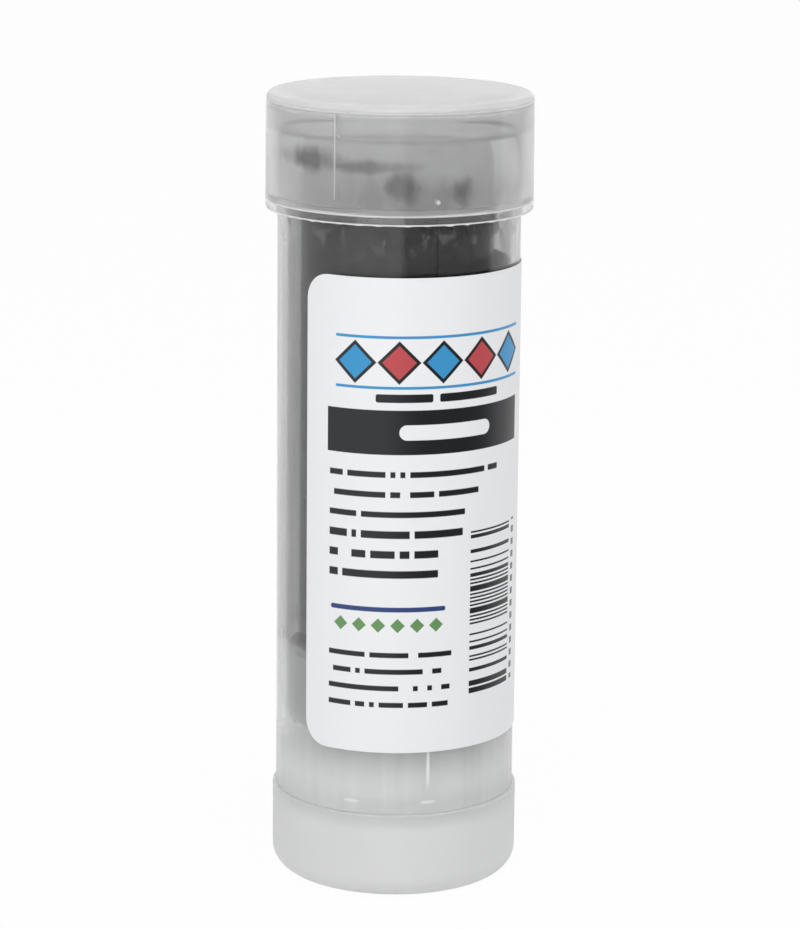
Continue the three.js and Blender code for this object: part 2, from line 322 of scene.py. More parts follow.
class Tree:
    """A node tree, with one method that makes any node."""

    def __init__(self, tree):
        self.tree = tree
        tree.nodes.clear()

    def node(self, kind, settings=None, sockets=None):
        made = self.tree.nodes.new("ShaderNode" + kind)
        for key, value in (settings or {}).items():
            setattr(made, key, value)
        for key, value in (sockets or {}).items():
            if isinstance(key, int):
                socket = made.inputs[key]
            else:
                socket = next(s for s in made.inputs if s.enabled and s.name == key)
            if isinstance(value, Wire):
                self.tree.links.new(value.socket, socket)
            elif isinstance(value, bpy.types.Node):
                self.tree.links.new(value.outputs[0], socket)
            elif socket.type == "RGBA":
                socket.default_value = (*value, 1)
            else:
                socket.default_value = value
        return made

    def wire(self, kind, settings=None, sockets=None, output=0):
        return Wire(self, self.node(kind, settings, sockets).outputs[output])

    def mix(self, share, first, second):
        """A colour between two colours."""
        made = self.node("Mix", {"data_type": "RGBA"}, {"Factor": share, "A": first, "B": second})
        return Wire(self, next(s for s in made.outputs if s.enabled))

    def blend(self, share, first, second):
        """A shader between two shaders."""
        return self.node("MixShader", None, {0: share, 1: first, 2: second})

    def noise(self, place, scale, detail=3.0):
        return self.wire("TexNoise", None, {"Vector": place, "Scale": scale, "Detail": detail})

    def dice(self, number):
        """A random share, 0 to 1, that stays the same for the same number."""
        return self.wire("TexWhiteNoise", {"noise_dimensions": "1D"}, {"W": number})

    def scaled(self, place, factors):
        """A vector, stretched by a factor along each axis."""
        return self.wire("VectorMath", {"operation": "MULTIPLY"}, {0: place, 1: factors})

    def parts(self, vector):
        made = self.node("SeparateXYZ", None, {0: vector})
        return [Wire(self, socket) for socket in made.outputs]

    def bump(self, height, depth):
        """A normal from a height of 0 to 1 that stands for a depth in metres."""
        return self.node("Bump", None, {"Distance": depth, "Height": height})


class Finish(Tree):
    """A material whose patterns are fixed to the body: place is the point on the model."""

    def __init__(self, name):
        self.material = bpy.data.materials.new(name)
        self.material.use_nodes = True
        super().__init__(self.material.node_tree)
        self.place = self.wire("TexCoord", output=3)

    def height(self):
        """The height in millimetres."""
        return self.parts(self.place)[2] / MM

    def from_axis(self):
        """The distance from the axis in millimetres."""
        x, y, _ = self.parts(self.place)
        return length(x, y) / MM

    def around(self):
        """The angle round from the front in degrees, and the height in millimetres."""
        x, y, _ = self.parts(self.place)
        return angle_round(x, y), self.height()

    def drawn(self, stretch, scale, detail=3.0):
        """Noise that is drawn out along the axis: the less its stretch, the longer its streaks."""
        return self.noise(self.scaled(self.place, (1.0, 1.0, stretch)), scale, detail)

    def show(self, shader):
        self.node("OutputMaterial", None, {"Surface": shader})
        print("finish", self.material.name, "has", len(self.tree.nodes), "nodes")
        return self.material


print("a tree makes nodes by name, such as", Tree.node.__name__, "and", Tree.blend.__name__)

# %% [markdown]
# Plastics that let light through.
#
# The cap, tube, carrier and base are the same kind of plastic in different amounts: a surface
# that bends light through the wall, with roughness for the frost, and a milky share for the haze
# in its bulk. Milk throws a part of its light back and a part onward, so a wall glows when there
# is light behind it. Volume scatter would be truer still, but in walls of one millimetre it costs
# many times the samples and looks the same.

# %% Make the plastics
PLASTIC_IOR = 1.49
BODY_TINT = (0.975, 0.978, 0.98)
GRAIN_DEPTH = 0.004
THIN_EDGE = 1.5


def plastic_shader(tree, tint, milk, haze, rough, bump, onward_share):
    """One plastic: a clear share and, by its haze, a milky one that throws light back and onward."""
    gloss = {"Roughness": rough, "IOR": PLASTIC_IOR, "Normal": bump}
    see_through = {"Base Color": tint, "Transmission Weight": 1.0}
    clear = tree.node("BsdfPrincipled", None, {**see_through, **gloss})
    back = tree.node("BsdfPrincipled", None, {"Base Color": milk, **gloss})
    onward = tree.node("BsdfTranslucent", None, {"Color": milk, "Normal": bump})
    return tree.blend(haze, clear, tree.blend(onward_share, back, onward))


def clouded(tree, roughness, marks, stretch=0.5):
    """A roughness with cloudy handling marks, and the clouds."""
    cloud = tree.drawn(stretch, 130.0)
    return roughness + marks * (cloud - 0.5), cloud


def moulded_grain(tree):
    """The bump of a fine moulded grain."""
    return tree.bump(tree.drawn(0.3, 1100.0), GRAIN_DEPTH * MM)


def plain_plastic(name, milk, haze, roughness, stretch=0.5, thin_above=None):
    """A hazy plastic. Above a height, where its wall thins out to an edge, the haze is half."""
    tree = Finish(name)
    rough, cloud = clouded(tree, roughness, 0.08, stretch)
    share = haze * (0.8 + 0.4 * cloud)
    if thin_above is not None:
        share = share * (1 - 0.5 * tree.height().above(thin_above, 3.0))
    bump = moulded_grain(tree)
    return tree.show(plastic_shader(tree, BODY_TINT, milk, share, rough, bump, 0.4))


MILKY = plain_plastic(
    "milky_base", (0.95, 0.952, 0.956), haze=0.85, roughness=0.35, thin_above=BASE_TOP_Z - THIN_EDGE
)
NATURAL = plain_plastic(
    "natural_plastic", (0.95, 0.965, 0.97), haze=0.75, roughness=0.34, stretch=0.06
)

# %% [markdown]
# Wax.
#
# Cast wax is dark, slightly uneven and dull, with streaks down its side where it left the mould.
# The end has been used, so it is scuffed to a dark grey. The same black is also on the tube's
# bore and inside the cap, because the stick rubs along them.

# %% Make the wax
WAX_BLACK = (0.006, 0.006, 0.007)
WAX_SCUFFED = (0.018, 0.018, 0.019)
WAX_WORN = (0.26, 0.26, 0.265)
WAX_IOR = 1.44
WAX_DEPTH = 0.22
WORN_LENGTH = 6.0


def wax_shader(tree, worn=0.0):
    """Black wax, greyer where it is worn."""
    streaks = tree.drawn(0.08, 420.0)
    blots = tree.noise(tree.place, 170.0, 4.0)
    grain = tree.noise(tree.place, 1700.0)
    scuffs = 0.4 * streaks.above(0.55, 0.2) + 0.6 * blots.above(0.58, 0.16)
    surface = {
        "Base Color": tree.mix(worn, tree.mix(scuffs, WAX_BLACK, WAX_SCUFFED), WAX_WORN),
        "Roughness": 0.08 + 0.26 * blots,
        "IOR": WAX_IOR,
        "Normal": tree.bump(0.2 * grain + 0.7 * blots + 0.3 * streaks, WAX_DEPTH * MM),
    }
    return tree.node("BsdfPrincipled", None, surface)


def wax_finish():
    tree = Finish("black_wax")
    height = tree.height()
    worn_z = STICK_TOP_Z - WORN_LENGTH
    end_face = (1 - tree.from_axis().above(STICK_R - 0.6, 0.8)) * height.above(worn_z, 1.0)
    end_side = 0.7 * height.above(worn_z, 3.0)
    patches = tree.noise(tree.place, 260.0, 4.0)
    return tree.show(wax_shader(tree, end_face.at_least(end_side) * (0.35 + 0.65 * patches)))


WAX = wax_finish()

# %% [markdown]
# The barrel.
#
# The tube is open at the top. Its floor has a hole for the screw, and a neck below it snaps into
# the base. Two ribs inside keep the carrier from turning, and two pips outside hold the cap: each
# is a small dome in the tube's own surface, so the light runs through it without a seam.

# %% Turn the barrel
HOLE_R = 4.5
NECK_R = 16.35
NECK_WALL = 1.2
NECK_BEAD = 0.4
NECK_BEAD_Z = NECK_END_Z + 1.8
NECK_BEAD_LENGTH = 1.2
RIB_DEPTH = 0.9
RIB_WIDTH = 1.7
RIB_TOP_Z = MOUTH_Z - 1.6
FLOOR_FILLET = 0.8
LIP = 0.19
LIP_EDGE = 0.12
PIP_R = 0.7
PIP_HEIGHT = 0.3
PIP_BALL_R = (PIP_R**2 + PIP_HEIGHT**2) / (2 * PIP_HEIGHT)
PIP_Z = MOUTH_Z - 8.4
PIP_ROWS = 15
ribs = [RIB_ANGLE, RIB_ANGLE + 180]


def pip_rise(angle, z):
    """How far a pip stands out of the wall at a point: part of a ball."""
    across = math.radians(min(apart(angle, rib) for rib in ribs)) * BARREL_R
    off = math.hypot(across, z - PIP_Z)
    return math.sqrt(PIP_BALL_R**2 - off**2) - (PIP_BALL_R - PIP_HEIGHT) if off < PIP_R else 0.0


def barrel_outline(angle):
    """The tube's wall at an angle. Each rib ends in a short slope under the mouth."""
    share = rib_share(angle, ribs, RIB_WIDTH, BORE_R)
    rib_r = BORE_R - RIB_DEPTH * share
    pip_rows = [PIP_Z + PIP_R * (2 * i / (PIP_ROWS - 1) - 1) for i in range(PIP_ROWS)]
    return [
        (HOLE_R, SHOULDER_Z),
        (NECK_R - NECK_WALL, SHOULDER_Z),
        (NECK_R - NECK_WALL, NECK_END_Z),
        (NECK_R - EDGE, NECK_END_Z),
        (NECK_R, NECK_END_Z + EDGE),
        (NECK_R, NECK_BEAD_Z),
        (NECK_R + NECK_BEAD, NECK_BEAD_Z + NECK_BEAD),
        (NECK_R + NECK_BEAD, NECK_BEAD_Z + NECK_BEAD_LENGTH - EDGE),
        (NECK_R, NECK_BEAD_Z + NECK_BEAD_LENGTH),
        (NECK_R, SHOULDER_Z - LIP),
        *arc(BARREL_R - LIP_EDGE, SHOULDER_Z - LIP + LIP_EDGE, LIP_EDGE, -90, 0, 5),
        *[(BARREL_R + pip_rise(angle, z), z) for z in pip_rows],
        *arc(BARREL_R - EDGE, MOUTH_Z - EDGE, EDGE, 0, 90),
        *arc(BORE_R + EDGE, MOUTH_Z - EDGE, EDGE, 90, 180),
        (BORE_R, RIB_TOP_Z + 0.35),
        (BORE_R - 0.7 * RIB_DEPTH * share, RIB_TOP_Z),
        (rib_r, RIB_TOP_Z - 0.3),
        *arc(rib_r - FLOOR_FILLET, FLOOR_Z + FLOOR_FILLET, FLOOR_FILLET, 0, -90, 6),
        (HOLE_R, FLOOR_Z),
    ]


barrel = turned("clear_barrel", barrel_outline, angles_round(ribs, RIB_WIDTH, BORE_R))

# %% [markdown]
# The tube's plastic.
#
# It is glossy with a faint haze, and satin near the floor, where the mould's core has a textured
# end. There a painted highlight, a pale milky line, runs down each rib, and two pairs of short
# painted glints lie at the height of the tube's floor, where its inner round catches the lamps.
# The rim of the mouth is frosted, and its paleness also paints the highlight on its top edge, and
# grease clings under the cap. The sine of an angle is 0 on both sides of the tube, so one sum
# draws a mark and its pair.

# %% Make the tube's plastic
TUBE_TINT, TUBE_MILK = (0.985, 0.99, 0.99), (0.975, 0.98, 0.98)
TUBE_WAVE_DEPTH = 0.017
SATIN_TOP_Z = 21.0
CUP_SHADE_Z = 36.5
RIB_GLINT_WIDTH = math.radians(0.7)
RIB_GLINT_BOTTOM_Z = 17.5
GREASE_BOTTOM_Z = 95.0
FLOOR_GLINTS = (-20.5, RIB_ANGLE)
GLINT_STRETCH = 4.5
GLINT_R = 0.2
TUBE_MOST_HAZE = 0.92


def tube_plastic(tree):
    """The tube's shader, with the angle and height that it was made from."""
    rough, cloud = clouded(tree, 0.06, 0.06)
    bump = tree.bump(tree.drawn(0.7, 260.0), TUBE_WAVE_DEPTH * MM)
    angle, height = tree.around()
    satin = 1 - height.above(SATIN_TOP_Z, 9.0)
    scraped = tree.drawn(0.05, 420.0, 4.0)
    below_cup_top = 1 - height.above(CUP_SHADE_Z, 2.0)
    # Painted highlight: a pale, milky line down each rib stands in for the lamps' light off its
    # flank.
    from_rib = abs(angle.sine_past(RIB_ANGLE))
    painted_rib_glint = (1 - from_rib.above(RIB_GLINT_WIDTH, 0.8 * RIB_GLINT_WIDTH)) * below_cup_top
    painted_rib_glint = painted_rib_glint * height.above(RIB_GLINT_BOTTOM_Z, 2.5)
    grease = tree.drawn(0.7, 700.0, 6.0).above(0.6, 0.1)
    grease = grease * height.between(GREASE_BOTTOM_Z, CAP_RIM_Z, 4.0)
    # Painted highlights: the frosted top of the mouth is pale for its lit edge, and short pale marks
    # at the floor stand in for the lamps' glints in the floor's inner round.
    painted_glints = height.above(MOUTH_Z - 0.08, 0.08)
    for glint_angle in FLOOR_GLINTS:
        across = angle.sine_past(glint_angle) * (BARREL_R / GLINT_STRETCH)
        painted_glints = painted_glints.at_least(1 - length(across, height - FLOOR_Z).above(GLINT_R, GLINT_R))
    haze = 0.004 + 0.01 * cloud + 0.58 * satin + below_cup_top * (0.1 + 0.2 * scraped)
    haze = (haze + 0.13 * grease + 0.35 * painted_rib_glint + 0.5 * painted_glints).at_most(TUBE_MOST_HAZE)
    rough = rough + 0.15 * satin
    onward_share = 0.5 - 0.1 * satin - 0.25 * painted_rib_glint.at_least(1.2 * painted_glints)
    shader = plastic_shader(tree, TUBE_TINT, TUBE_MILK, haze, rough, bump, onward_share)
    return shader, angle, height


def tube_finish():
    tree = Finish("clear_tube")
    return tree.show(tube_plastic(tree)[0])


TUBE = tube_finish()

# %% [markdown]
# Wax in the bore.
#
# The bore has the tube's plastic with a streaky film of wax on it, from the stick's worn end down
# to the cup, thicker on the left. There are specks near its top, a thin film along the cup, and a
# ring just under the mouth, which wipes the stick. The film could be a surface of its own, but wax
# that wets the plastic takes away the wall's inner reflection. So it is blended into the bore's
# own finish.

# %% Smear the bore
SMEAR_TOP_Z = 104.9
SMEAR_BOTTOM_Z = 35.5
CUP_SMEAR_BOTTOM_Z = 25.0
LEFT_FILM_ANGLES = (-66.0, -40.0)
WIPED = (MOUTH_Z - 0.8, MOUTH_Z - 0.1)


def smeared_finish():
    tree = Finish("clear_tube_with_wax")
    plastic, angle, height = tube_plastic(tree)
    ragged = tree.drawn(0.6, 330.0, 5.0)
    streaks = tree.drawn(0.05, 260.0, 4.0)
    below_end = SMEAR_TOP_Z - 1.3 * angle.sine_past(-10.0) - height + 5.0 * (ragged - 0.5)
    specks = 0.8 * tree.drawn(0.7, 300.0, 6.0).above(0.56, 0.1)
    specks = specks * height.above(GREASE_BOTTOM_Z, 6.0)
    # The film is thicker on the left, between -66 and -40 degrees round.
    left_film = 0.1 * angle.between(*LEFT_FILM_ANGLES, 10.0)
    film = below_end.above(0.0, 0.8) * (0.15 + 0.6 * streaks + left_film).at_least(specks)
    film = film * (1 - 0.6 * height.above(CAP_RIM_Z + 2.0, 3.0))
    above_cup = height.above(SMEAR_BOTTOM_Z, 1.5)
    along_cup = 0.4 * height.above(CUP_SMEAR_BOTTOM_Z, 3.0)
    wiped = 0.9 * height.between(*WIPED, 0.2) * ragged.above(0.35, 0.3)
    film = (film * above_cup.at_least(along_cup)).at_least(wiped)
    return tree.show(tree.blend(film, plastic, wax_shader(tree)))


line_bore(barrel, BORE_R, FLOOR_Z + FLOOR_FILLET, MOUTH_Z)
dress(barrel, "barrel_body", "clear_plastic", TUBE, smeared_finish(), replaces="barrel")

# %% [markdown]
# The twist base.
#
# A plain cup with a large round at its foot, milky enough to hide the neck inside it. A boss in
# its middle has a hexagon socket, which turns the screw.

# %% Turn the base
BASE_FOOT_R = 3.3
BASE_WALL = 1.0
BASE_FLOOR = 1.5
BASE_RECESS = 0.5
RECESS_R = 11.5
BOSS_R = 7.0
SOCKET_MOUTH = 1.95
FOOT_FLATS = 6.4
SOCKET_GAP = 0.15


def hexagon_r(angle, across_flats):
    """A hexagon's radius at an angle, with corners at the front and every 60 degrees."""
    return across_flats / 2 / math.cos(math.radians(angle % 60 - 30))


def base_outline(angle):
    """The cup at an angle: its underside, its side, its floor, and the boss with the socket."""
    inner_r = BASE_R - BASE_WALL
    inner_foot_r = BASE_FOOT_R - BASE_WALL
    socket_r = hexagon_r(angle, FOOT_FLATS + 2 * SOCKET_GAP)
    return [
        (0.0, BASE_RECESS),
        (RECESS_R - BASE_RECESS, BASE_RECESS),
        *arc(RECESS_R, EDGE, EDGE, 180, 270, 2),
        *arc(BASE_R - BASE_FOOT_R, BASE_FOOT_R, BASE_FOOT_R, -90, 0, 14),
        *arc(BASE_R - EDGE, BASE_TOP_Z - EDGE, EDGE, 0, 90),
        *arc(inner_r + EDGE, BASE_TOP_Z - EDGE, EDGE, 90, 180, 2),
        *arc(inner_r - inner_foot_r, BASE_FLOOR + inner_foot_r, inner_foot_r, 0, -90, 5),
        (BOSS_R, BASE_FLOOR),
        (BOSS_R, BASE_TOP_Z - EDGE),
        (BOSS_R - EDGE, BASE_TOP_Z),
        (HOLE_R, BASE_TOP_Z),
        (HOLE_R, BASE_TOP_Z - SOCKET_MOUTH),
        (socket_r, BASE_TOP_Z - SOCKET_MOUTH),
        (socket_r, SCREW_FOOT_Z - SOCKET_GAP),
        (0.0, SCREW_FOOT_Z - SOCKET_GAP),
    ]


base = turned("milky_base_cup", base_outline)
dress(base, "base_body", "frosted_plastic", MILKY, replaces="twist_base")

# %% [markdown]
# The cap.
#
# Three thin ribs inside grip the barrel and end in small stops that rest on its mouth. The rim is
# relieved inside, so the first millimetre and a half stands clear of the barrel, and the very
# edge carries a little moulding flash: the ragged line at the bottom of the cap, which its plastic
# paints with a bright highlight.

# %% Turn the cap
CAP_WALL = 1.2
CAP_BORE_R = CAP_R - CAP_WALL
CAP_EDGE_R = 1.0
CAP_CEILING_Z = CAP_TOP_Z - 1.5
CAP_SEAT_Z = MOUTH_Z + TURN_GAP
CAP_DRAFT = 0.12
CAP_RIB_ANGLE = -28.0
CAP_RIB_WIDTH = 0.5
CAP_RIB_DEPTH = 0.3
CAP_STOP_DEPTH = 1.1
RELIEF = 0.3
ROOF_DISH = 0.03
FLASH_MOST = 0.36
FLASH_MEAN = 0.2
FLASH_WAVE = 0.05
FLASH_INSETS = (0.4, 0.32, 0.14, 0.06)
RELIEF_TOP_Z = CAP_RIM_Z + 1.4
BEAD_TOP_Z = RELIEF_TOP_Z + 0.9
cap_ribs = [CAP_RIB_ANGLE + 120 * i for i in range(3)]
seeded = random.Random(7)
flash_waves = []
for _ in range(12):
    flash_waves.append((seeded.randint(11, 130), seeded.uniform(0, 6.28), seeded.uniform(0.3, 1.0)))


def flash(angle):
    """How far the flash hangs down at an angle: a ragged, mostly thin line."""
    around = math.radians(angle)
    total = sum(size * math.sin(turns * around + start) for turns, start, size in flash_waves)
    return min(FLASH_MOST, FLASH_MEAN + FLASH_WAVE * max(0.0, total))


def cap_outline(angle):
    """The cap at an angle: its rim with the flash, its side and roof, and its ribbed inside."""
    share = rib_share(angle, cap_ribs, CAP_RIB_WIDTH, CAP_BORE_R)
    rib_r = CAP_BORE_R - CAP_RIB_DEPTH * share
    stop_r = CAP_BORE_R - CAP_STOP_DEPTH * share
    top_r = CAP_R - CAP_DRAFT
    rim_z = CAP_RIM_Z + FLASH_MOST
    tip_z = rim_z - flash(angle)
    root_in, tip_in, tip_out, root_out = (CAP_R - inset for inset in FLASH_INSETS)
    fillet = 0.8 * (1 - share) + 0.05
    return [
        (CAP_BORE_R + RELIEF, rim_z),
        (root_in, rim_z),
        (tip_in, tip_z),
        (tip_out, tip_z),
        (root_out, rim_z),
        (CAP_R, rim_z + 0.12),
        (CAP_R - 0.02, CAP_RIM_Z + 3.0),
        *arc(top_r - CAP_EDGE_R, CAP_TOP_Z - CAP_EDGE_R, CAP_EDGE_R, 0, 90, 10),
        (top_r / 2, CAP_TOP_Z - ROOF_DISH * 2 / 3),
        (0.0, CAP_TOP_Z - ROOF_DISH),
        (0.0, CAP_CEILING_Z),
        (CAP_BORE_R - 1.9, CAP_CEILING_Z),
        *arc(stop_r - fillet, CAP_CEILING_Z - fillet, fillet, 90, 0, 5),
        (stop_r, CAP_SEAT_Z + 0.1),
        (rib_r, CAP_SEAT_Z),
        (rib_r, CAP_RIM_Z + 3.6),
        (CAP_BORE_R, CAP_RIM_Z + 3.0),
        (CAP_BORE_R, BEAD_TOP_Z + 0.2),
        *arc(CAP_BORE_R + 0.05, BEAD_TOP_Z, 0.15, 150, 220, 3),
        (CAP_BORE_R, RELIEF_TOP_Z + RELIEF),
        (CAP_BORE_R + RELIEF, RELIEF_TOP_Z),
    ]


cap_angles = angles_round(cap_ribs, CAP_RIB_WIDTH, CAP_BORE_R, beside=0.25)
cap = turned("frosted_cap_shell", cap_outline, cap_angles)

# %% [markdown]
# The cap's plastic.
#
# Frost blurs what is far behind it and lets through what touches it, so the crayon is only a soft
# grey inside the cap. The inside of the wall has more of the frost than its outside. The relieved
# rim is thinner and polished, so it is clearer, with scratches. Its flash and its upper edge get a
# painted highlight: they are made milky, so they read bright. The corner where the roof meets the
# wall is thick, so it is paler, and the plastic is pale too where it is strained: in a line over
# each rib, and in a dot where a pip of the tube presses on it. Under the roof's edge, between the
# tube's mouth and the roof, the clear share is tinted darker: painted shade.

# %% Make the cap's plastic
CAP_TINT, CAP_MILK = (0.985, 0.987, 0.987), (0.97, 0.97, 0.975)
CAP_PAINTED_SHADE_TINT = (0.73, 0.732, 0.732)
CAP_RIM_TINT = (0.92, 0.922, 0.922)
CAP_MOST_HAZE = 0.95
ROOF_HAZE_Z = CAP_CEILING_Z + 0.6
RIB_MARK = math.radians(0.4)
PIP_MARK = 0.32


def cap_plastic(tree, outside):
    """The cap's shader, with the angle and height that it was made from. outside is 1 or 0."""
    rough, cloud = clouded(tree, 0.06, 0.05)
    angle, height = tree.around()
    corner = tree.from_axis().above(CAP_BORE_R - 0.8, 2.6) * height.above(CAP_TOP_Z - 0.7, 0.6)
    from_rib = abs(angle.sine_past(CAP_RIB_ANGLE, 1.5)) / 1.5
    strained = (1 - from_rib.above(RIB_MARK, RIB_MARK)) * outside
    strained = strained * height.between(CAP_RIM_Z + 3.4, CAP_CEILING_Z, 0.3)
    across = angle.sine_past(RIB_ANGLE) * CAP_R
    pip = 1 - length(across, height - PIP_Z).above(PIP_MARK, 0.3)
    rim = 1 - height.above(RELIEF_TOP_Z, 0.12)
    bead = height.between(RELIEF_TOP_Z, BEAD_TOP_Z, 0.2)
    roof = height.above(ROOF_HAZE_Z, 0.7)
    # Painted highlights: the flash and the relief's upper edge are made milky and send less light
    # onward, so they read as bright lines.
    flash_highlight = 1 - height.above(CAP_RIM_Z + FLASH_MOST + 0.02, 0.06)
    upper_edge_highlight = height.between(RELIEF_TOP_Z - 0.06, RELIEF_TOP_Z + 0.18, 0.08)
    painted_edge_highlights = flash_highlight + 0.55 * upper_edge_highlight
    scratches = tree.drawn(1.6, 900.0, 4.0)
    haze = (0.46 - 0.32 * outside + 0.1 * cloud + 0.26 * roof) * (1 - 0.98 * rim) + 0.1 * bead
    haze = haze + 0.07 * rim * scratches + 0.1 * corner + 0.4 * strained
    haze = (haze + 0.8 * painted_edge_highlights + 0.7 * pip).at_most(CAP_MOST_HAZE)
    # Painted shade: between the tube's mouth and the roof the clear share is tinted darker, for the
    # shade under the cap's thick top edge.
    painted_shade_band = height.between(MOUTH_Z, ROOF_HAZE_Z, 0.7)
    tint = tree.mix(rim, tree.mix(painted_shade_band, CAP_TINT, CAP_PAINTED_SHADE_TINT), CAP_RIM_TINT)
    onward_share = 0.42 - 0.3 * painted_edge_highlights - 0.2 * corner
    rough = rough * (1 - 0.5 * rim)
    bump = moulded_grain(tree)
    return plastic_shader(tree, tint, CAP_MILK, haze, rough, bump, onward_share), angle, height


def cap_finish():
    tree = Finish("frosted_cap")
    return tree.show(cap_plastic(tree, 1.0)[0])


FROSTED = cap_finish()

# %% [markdown]
# Wax in the cap.
#
# The crayon's end has touched the inside of the cap and left dark blots there. They lie against
# the frost, so they show through it. Each is an oval whose edge is broken up by noise, on a
# second finish that only the inside of the cap's wall has.

# %% Blot the inside of the cap
# Angle, height, half width in degrees, half height and strength.
BLOTS = (
    (-43.0, 107.2, 24.0, 1.7, 0.95),
    (-22.0, 106.7, 28.0, 1.0, 0.75),
    (1.0, 103.8, 10.0, 2.3, 0.95),
    (28.0, 103.2, 8.0, 2.6, 0.95),
    (12.0, 102.4, 52.0, 3.2, 0.35),
)


def smeared_cap_finish():
    tree = Finish("frosted_cap_with_wax")
    plastic, angle, height = cap_plastic(tree, 0.0)
    ragged = tree.drawn(0.5, 300.0, 6.0)
    blots = []
    for blot_angle, blot_z, half_width, half_height, strength in BLOTS:
        off = length((angle - blot_angle) / half_width, (height - blot_z) / half_height)
        near = 1.0 - off + 2.2 * (ragged - 0.5)
        blots.append(strength * near.above(0.3, 1.2))
    wax = reduce(Wire.at_least, blots) * (0.5 + tree.drawn(0.1, 330.0, 4.0)).at_most(1.0)
    return tree.show(tree.blend(wax, plastic, wax_shader(tree)))


line_bore(cap, CAP_BORE_R, BEAD_TOP_Z, CAP_CEILING_Z - 0.05)
dress(cap, "cap_body", "frosted_plastic", FROSTED, smeared_cap_finish(), replaces="cap")

# %% [markdown]
# The wax stick.
#
# The end is worn: one side is lower than the other, and the face is uneven. The points of the
# top face are moved down by a smooth formula, and the wax's bump does the small pits. The stick is
# loose in its cup, so it stands a quarter of a millimetre to the left.

# %% Turn the stick and wear its end
CHIP_DEPTH = 3.0
CHIP_ANGLE = 30.0
CHIP_HALF_ANGLE = 78.0
STICK_BORE_R = 4.5
STICK_BORE_TOP_Z = SCREW_TOP_Z + 0.3
STICK_EDGE_R = 0.8
WAVE_LENGTH = 12.0
WAVE_DEPTH = 0.4
RIPPLE_DEPTH = 0.1
TOP_RINGS = 26
STICK_SHIFT = -0.25


def worn_by(r, angle):
    """How far the end is worn down at a radius and an angle."""
    across = max(0.0, 1 - apart(angle, CHIP_ANGLE) / CHIP_HALF_ANGLE)
    chip = CHIP_DEPTH * across**2 * (3 - 2 * across) * (r / STICK_R) ** 1.5
    x, y = r * math.sin(math.radians(angle)), -r * math.cos(math.radians(angle))
    turn = 2 * math.pi / WAVE_LENGTH
    waves = WAVE_DEPTH * math.sin(turn * x + 1.3) * math.cos(turn * y - 0.4) * r / STICK_R
    ripples = RIPPLE_DEPTH * math.sin(2.9 * x + 0.6 * y) * math.sin(2.3 * y - 0.9 * x) * r / STICK_R
    return max(0.0, chip + waves + 0.05) + ripples * across


def stick_outline(angle):
    """The stick at an angle: its bore, its foot, its side, and its worn end in close rings."""
    drop = worn_by(STICK_R, angle)
    edge = arc(STICK_R - STICK_EDGE_R, STICK_TOP_Z - STICK_EDGE_R, STICK_EDGE_R, 0, 80, 4)
    points = [
        (STICK_BORE_R, STICK_BORE_TOP_Z),
        (STICK_BORE_R, STICK_BOTTOM_Z),
        (STICK_R - 0.4, STICK_BOTTOM_Z),
        (STICK_R, STICK_BOTTOM_Z + 0.4),
        (STICK_R, STICK_TOP_Z - 4.5),
        *[(r, z - drop) for r, z in edge],
    ]
    for i in range(TOP_RINGS + 1):
        r = (STICK_R - STICK_EDGE_R) * (1 - i / TOP_RINGS)
        points.append((r, STICK_TOP_Z - worn_by(r, angle)))
    return [*points, (0.0, STICK_BORE_TOP_Z)]


stick = turned("black_wax_stick", stick_outline, crease=50)
stick.data.transform(Matrix.Translation((STICK_SHIFT * MM, 0, 0)))
dress(stick, "stick_body", "black_wax", WAX, replaces="wax_stick")

# %% [markdown]
# The thread.
#
# A thread climbs as it turns, so it can't be one outline turned round. But a column can hold the
# outline of the whole thread as it is at that angle, lifted by its share of the pitch. Then every
# row of the grid is a helix, and the column at 360 degrees lies exactly on the first one, moved
# up by one thread, where the two are merged. At its ends the thread fades into what carries it.

# %% Work out a thread's outline at an angle
CORE_R = 3.0
THREAD_R = 4.2
PITCH = 6.0
THREAD_ROOT = 2.6
THREAD_CREST = 1.4
THREAD_GAP = 0.3
COLLAR_Z = FLOOR_Z + TURN_GAP
COLLAR_TOP_Z = COLLAR_Z + 1.0
THREAD_MIDDLE_Z = COLLAR_TOP_Z + THREAD_GAP + THREAD_ROOT / 2
THREAD_ANGLE = 90.0
FADE = 1.0


def thread_width(r):
    return THREAD_ROOT + (r - CORE_R) / (THREAD_R - CORE_R) * (THREAD_CREST - THREAD_ROOT)


def nut_width(r):
    return PITCH - thread_width(r) - 2 * THREAD_GAP


def thread_rows(angle, root_r, crest_r, width, low_z, high_z, lift=0.0):
    """A thread's outline at an angle, upward, as (radius, height) between two heights."""
    corner = crest_r + 0.08 * (root_r - crest_r)
    root, crest = width(root_r) / 2, width(crest_r) / 2
    section = [(-root, root_r), (-crest - 0.06, corner), (-crest + 0.06, crest_r)]
    section += [(-z, r) for z, r in reversed(section)]
    first = math.floor((low_z - THREAD_MIDDLE_Z) / PITCH) - 2
    last = math.ceil((high_z - THREAD_MIDDLE_Z) / PITCH) + 2
    points = []
    for turn in range(first, last):
        middle = THREAD_MIDDLE_Z + lift + (turn + (angle - THREAD_ANGLE) / 360) * PITCH
        for rise, r in section:
            z = min(max(middle + rise, low_z), high_z)
            height = smooth_step(0.0, FADE, min(z - low_z, high_z - z))
            points.append((root_r + (r - root_r) * height, z))
    return points


print("the screw's thread is", round(thread_width(CORE_R), 2), "mm wide at its root")

# %% [markdown]
# The screw.
#
# A hexagon foot sits in the base's socket, a collar rests on the barrel's floor, and the thread
# runs up through the carrier's nut and the hollow stick.

# %% Turn the screw
COLLAR_R = 6.4
FOOT_LENGTH = 8.2


